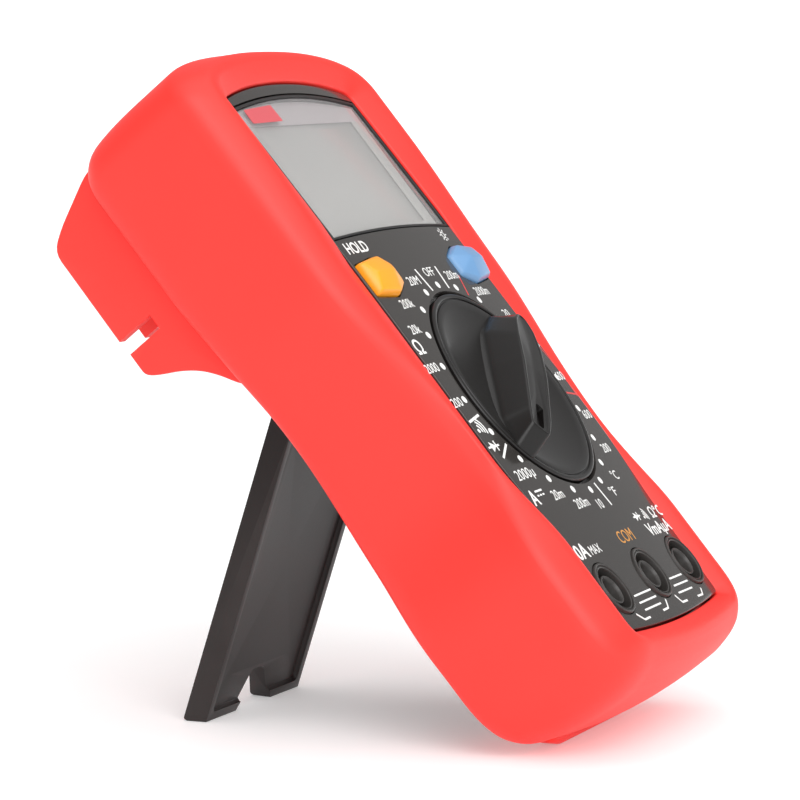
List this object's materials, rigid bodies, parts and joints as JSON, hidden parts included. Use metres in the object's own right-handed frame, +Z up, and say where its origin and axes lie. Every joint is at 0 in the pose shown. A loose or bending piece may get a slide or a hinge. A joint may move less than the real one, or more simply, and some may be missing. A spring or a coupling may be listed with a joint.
{
  "type": "digital multimeter",
  "caption": "Palm-size digital multimeter in a red rubber holster, leaning on its open kickstand, with rotary selector, push buttons, display and test-lead jacks.",
  "frame": {"origin": "centre of the bounding box on the surface that the meter stands on", "axes": "+X to the right seen from the front, +Y to the back, where the kickstand is, +Z up; the meter leans back 39.4 degrees from upright"},
  "size_m": [0.077, 0.1094, 0.1191],
  "materials": {
    "red_rubber": "soft satin moulded rubber, bright red",
    "black_panel": "glossy dark grey panel with printed markings",
    "black_plastic": "fine satin black plastic",
    "knob_plastic": "smooth satin black plastic",
    "yellow_plastic": "smooth yellow plastic",
    "blue_plastic": "smooth blue plastic",
    "clear_window": "clear polished window",
    "lcd_glass": "grey liquid crystal display glass",
    "white_plastic": "off-white plastic",
    "board_green": "green solder resist",
    "brass": "plain brass",
    "steel": "bright steel",
    "grey_rubber": "dark elastic strip",
    "black_epoxy": "black moulded compound",
    "fuse_glass": "clear fuse tube with metal caps",
    "battery_sleeve": "printed battery sleeve",
    "copper": "bare resistance wire"
  },
  "bodies": {
    "meter": {"holster": "red_rubber", "front_case": "black_panel", "rear_case": "black_plastic", "battery_cover": "black_plastic", "jack_sleeve_left": "black_plastic", "jack_sleeve_centre": "black_plastic", "jack_sleeve_right": "black_plastic", "calibration_trimmer": "yellow_plastic", "display_window": "clear_window", "lcd_panel": "lcd_glass", "backlight_plate": "white_plastic", "lcd_frame": "white_plastic", "detent_ring": "white_plastic", "circuit_board": "board_green", "jack_contact_left": "brass", "jack_contact_centre": "brass", "jack_contact_right": "brass", "fuse_clip_left": "brass", "fuse_clip_right": "brass", "case_screw_1": "steel", "case_screw_2": "steel", "case_screw_3": "steel", "case_screw_4": "steel", "battery_cover_screw": "steel", "battery_strap": "steel", "battery_terminal_positive": "steel", "battery_terminal_negative": "steel", "battery_spring_1": "steel", "battery_spring_2": "steel", "window_gasket": "grey_rubber", "zebra_strip_upper": "grey_rubber", "zebra_strip_lower": "grey_rubber", "buzzer": "black_epoxy", "meter_chip": "black_epoxy", "hold_switch": "black_epoxy", "backlight_switch": "black_epoxy", "fuse": "fuse_glass", "battery_1": "battery_sleeve", "battery_2": "battery_sleeve", "shunt_wire": "copper"},
    "knob": {"selector_knob": "knob_plastic", "switch_rotor": "white_plastic", "detent_ball_1": "steel", "detent_ball_2": "steel", "detent_spring_1": "steel", "detent_spring_2": "steel", "wiper_1": "brass", "wiper_2": "brass", "wiper_3": "brass"},
    "hold_key": {"hold_button": "yellow_plastic"},
    "backlight_key": {"backlight_button": "blue_plastic"},
    "stand": {"kickstand": "black_plastic"}
  },
  "joints": [
    {"name": "knob_spin", "type": "hinge", "parent": "meter", "child": "knob", "pos_m": [0, -0.0195, 0.0605], "axis": [0, -0.7727, 0.6347], "continuous": true},
    {"name": "hold_press", "type": "slide", "parent": "meter", "child": "hold_key", "axis": [0, 0.7727, -0.6347], "range_m": [0, 0.0007], "stiffness_N_per_m": 300},
    {"name": "backlight_press", "type": "slide", "parent": "meter", "child": "backlight_key", "axis": [0, 0.7727, -0.6347], "range_m": [0, 0.0007], "stiffness_N_per_m": 300},
    {"name": "stand_fold", "type": "hinge", "parent": "meter", "child": "stand", "pos_m": [0, 0.01608, 0.05561], "axis": [-1, 0, 0], "range_deg": [0, 57]}
  ]
}
